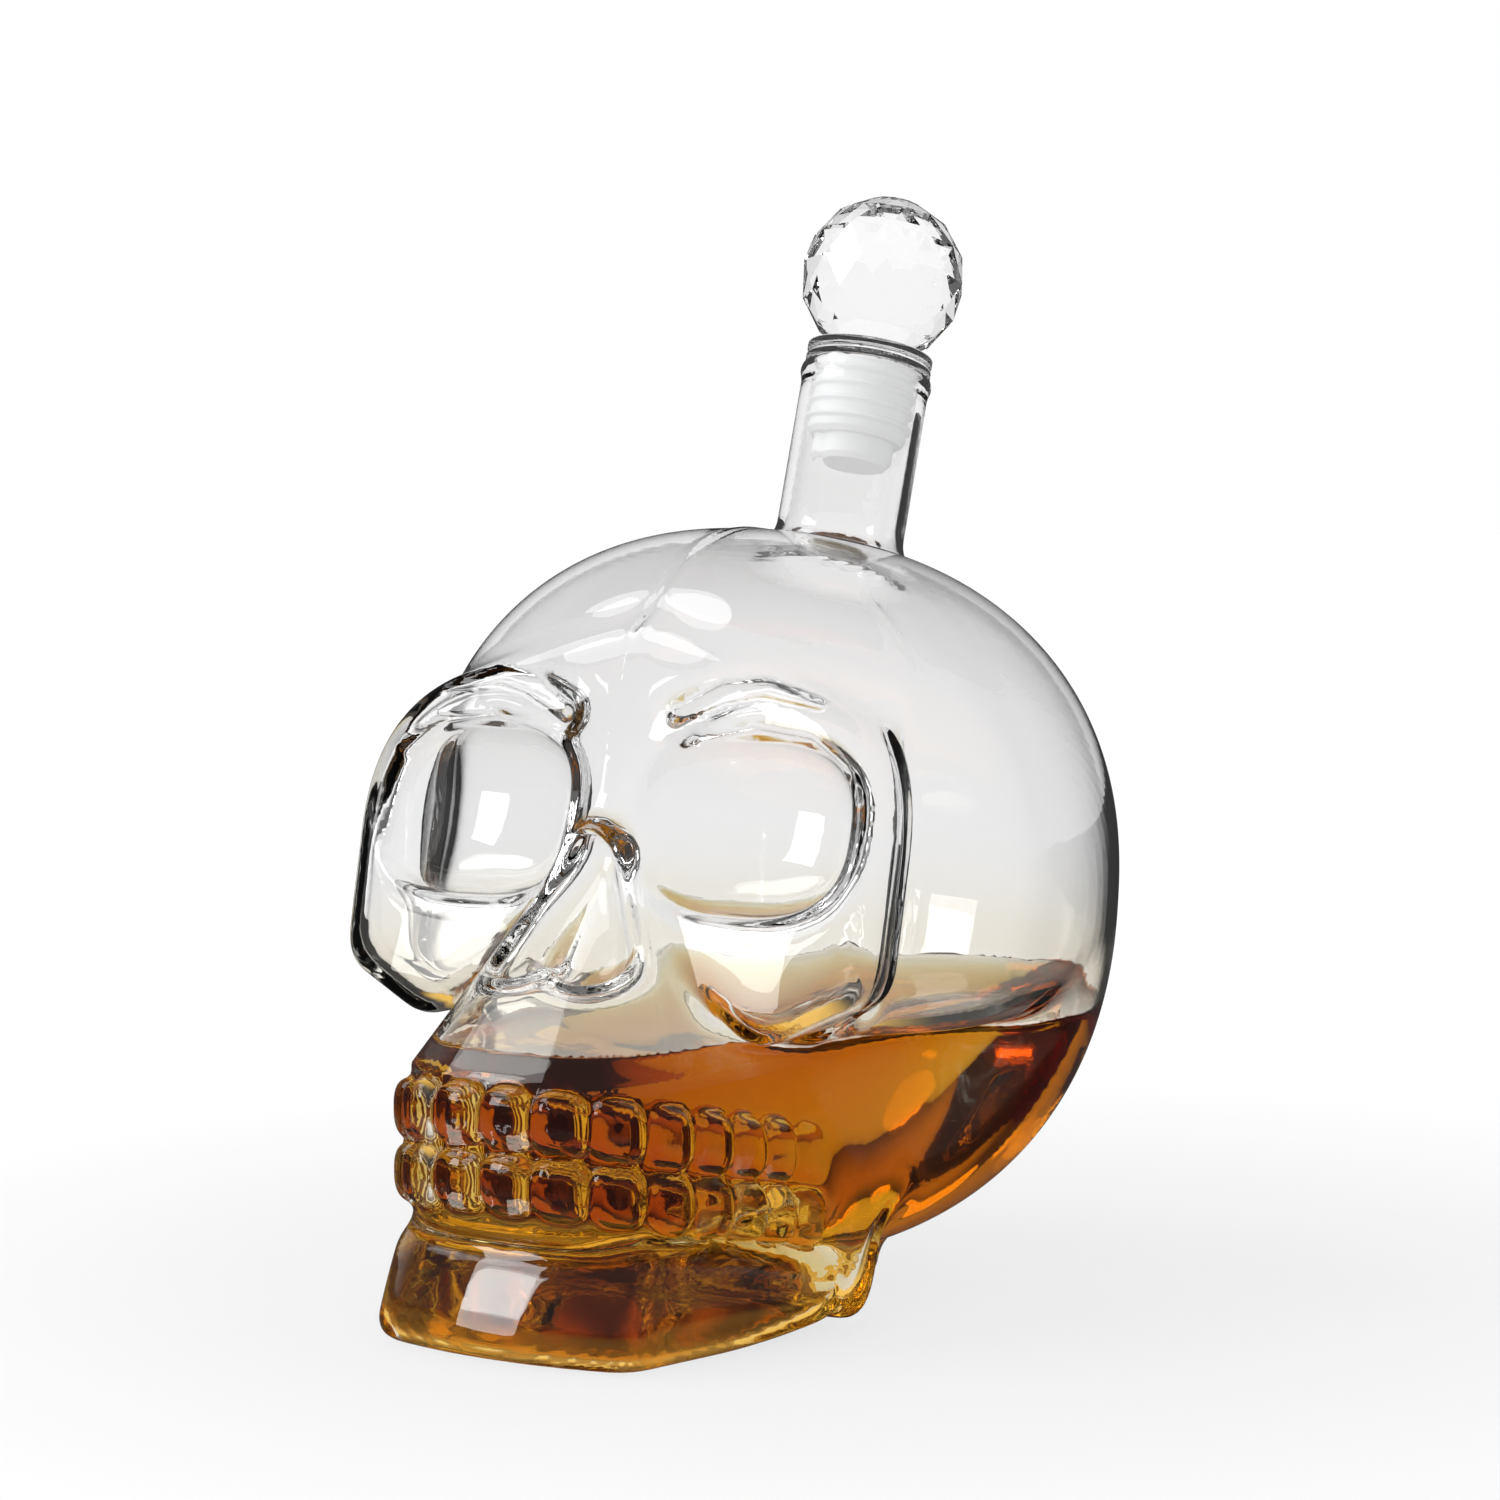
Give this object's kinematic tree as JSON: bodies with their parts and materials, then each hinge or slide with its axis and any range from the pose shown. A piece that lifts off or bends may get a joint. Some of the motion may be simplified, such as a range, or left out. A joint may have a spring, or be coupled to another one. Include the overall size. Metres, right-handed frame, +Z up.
{
  "type": "figural liquor decanter",
  "caption": "Clear glass skull-shaped decanter that stands on its jaw and foot, holds amber liquor, and is closed by a ribbed plug stopper with a faceted ball.",
  "frame": {"origin": "on the floor plane, in the foot's flat underside, on the mirror plane of the skull", "axes": "+X to the skull's left side, -Y out of the face, +Z up"},
  "size_m": [0.1151, 0.1445, 0.1822],
  "materials": {
    "clear_glass": "clear, mould-blown, glossy",
    "amber_liquor": "clear amber liquid, still surface",
    "frosted_plug": "translucent milky, soft sheen",
    "clear_collar": "clear, polished",
    "crystal": "clear cut crystal, polished facets"
  },
  "bodies": {
    "vessel": {"skull_vessel": "clear_glass", "liquor_fill": "amber_liquor"},
    "plug": {"stopper_plug": "frosted_plug"},
    "finial": {"stopper_collar": "clear_collar", "stopper_ball": "crystal"}
  },
  "joints": [
    {"name": "stopper_pull", "type": "slide", "parent": "vessel", "child": "plug", "axis": [0, 0.304, 0.9527], "range_m": [0, 0.04]},
    {"name": "stopper_twist", "type": "hinge", "parent": "plug", "child": "finial", "pos_m": [0, 0.037, 0.152], "axis": [0, 0.304, 0.9527], "continuous": true}
  ]
}
